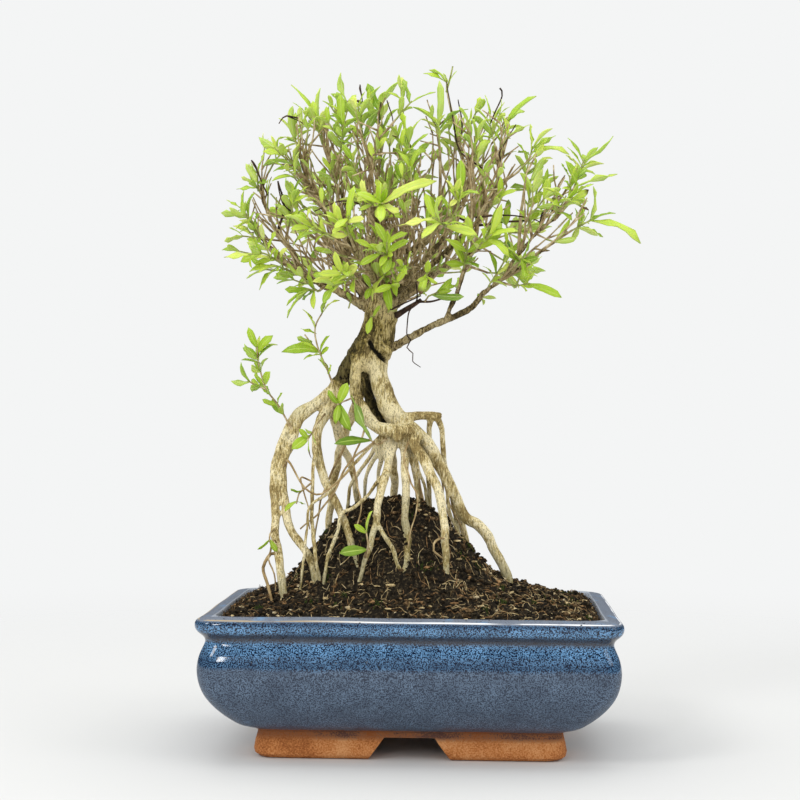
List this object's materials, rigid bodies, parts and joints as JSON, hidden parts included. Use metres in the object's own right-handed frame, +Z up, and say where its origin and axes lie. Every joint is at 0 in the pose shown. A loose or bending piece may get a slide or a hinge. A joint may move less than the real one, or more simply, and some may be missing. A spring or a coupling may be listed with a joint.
{
  "type": "serissa bonsai",
  "caption": "Serissa bonsai with arching exposed roots and leafy sprays, rooted in mounded soil in a rectangular glazed pot on low corner feet.",
  "frame": {"origin": "centre of the footprint of the whole plant and pot, on the floor under the pot's feet", "axes": "+Z up along the height, +X to the right and -Y towards the viewer, seen from the front"},
  "size_m": [0.213, 0.1548, 0.344],
  "materials": {
    "glazed_stoneware": "speckled blue glaze over unglazed terracotta feet",
    "potting_soil": "dark crumbly peat with fibres and small stones",
    "serissa_wood": "tan roots and trunk with dark fissured bark",
    "serissa_leaf": "small satin leaves, bright yellow-green",
    "drain_screen_plastic": "black plastic mesh"
  },
  "bodies": {
    "root": {"drain_screen_left": "drain_screen_plastic", "drain_screen_right": "drain_screen_plastic", "pot": "glazed_stoneware", "soil": "potting_soil", "spray_back_left_far": "serissa_leaf", "spray_back_left_high": "serissa_leaf", "spray_back_left_inner": "serissa_leaf", "spray_back_left_low": "serissa_leaf", "spray_back_low": "serissa_leaf", "spray_back_middle": "serissa_leaf", "spray_back_middle_high": "serissa_leaf", "spray_back_right_far": "serissa_leaf", "spray_back_right_high": "serissa_leaf", "spray_back_right_low": "serissa_leaf", "spray_base_shoot": "serissa_leaf", "spray_far_left": "serissa_leaf", "spray_far_left_high": "serissa_leaf", "spray_front_broad": "serissa_leaf", "spray_front_left_broad": "serissa_leaf", "spray_front_left_low": "serissa_leaf", "spray_front_left_tall": "serissa_leaf", "spray_front_middle": "serissa_leaf", "spray_front_pair": "serissa_leaf", "spray_front_pale": "serissa_leaf", "spray_front_pale_high": "serissa_leaf", "spray_left_single": "serissa_leaf", "spray_left_star": "serissa_leaf", "spray_left_under": "serissa_leaf", "spray_left_yellow": "serissa_leaf", "spray_low_far_left": "serissa_leaf", "spray_low_left": "serissa_leaf", "spray_middle_right_long": "serissa_leaf", "spray_middle_right_low": "serissa_leaf", "spray_right_cluster": "serissa_leaf", "spray_right_far": "serissa_leaf", "spray_right_low": "serissa_leaf", "spray_right_middle": "serissa_leaf", "spray_right_outer_low": "serissa_leaf", "spray_right_outer_middle": "serissa_leaf", "spray_right_outer_top": "serissa_leaf", "spray_right_top": "serissa_leaf", "spray_right_yellow": "serissa_leaf", "spray_top_bud": "serissa_leaf", "spray_top_front": "serissa_leaf", "spray_top_highest": "serissa_leaf", "spray_top_left": "serissa_leaf", "spray_top_left_back": "serissa_leaf", "spray_top_left_front": "serissa_leaf", "spray_top_long_twig": "serissa_leaf", "spray_top_middle_back": "serissa_leaf", "spray_top_right_back": "serissa_leaf", "spray_top_right_front": "serissa_leaf", "spray_top_right_large": "serissa_leaf", "spray_top_right_yellow": "serissa_leaf", "spray_top_upright": "serissa_leaf", "spray_trunk_leaves": "serissa_leaf", "spray_upper_left": "serissa_leaf", "spray_upper_left_low": "serissa_leaf", "spray_upper_left_tip": "serissa_leaf", "tree": "serissa_wood"}
  },
  "joints": []
}
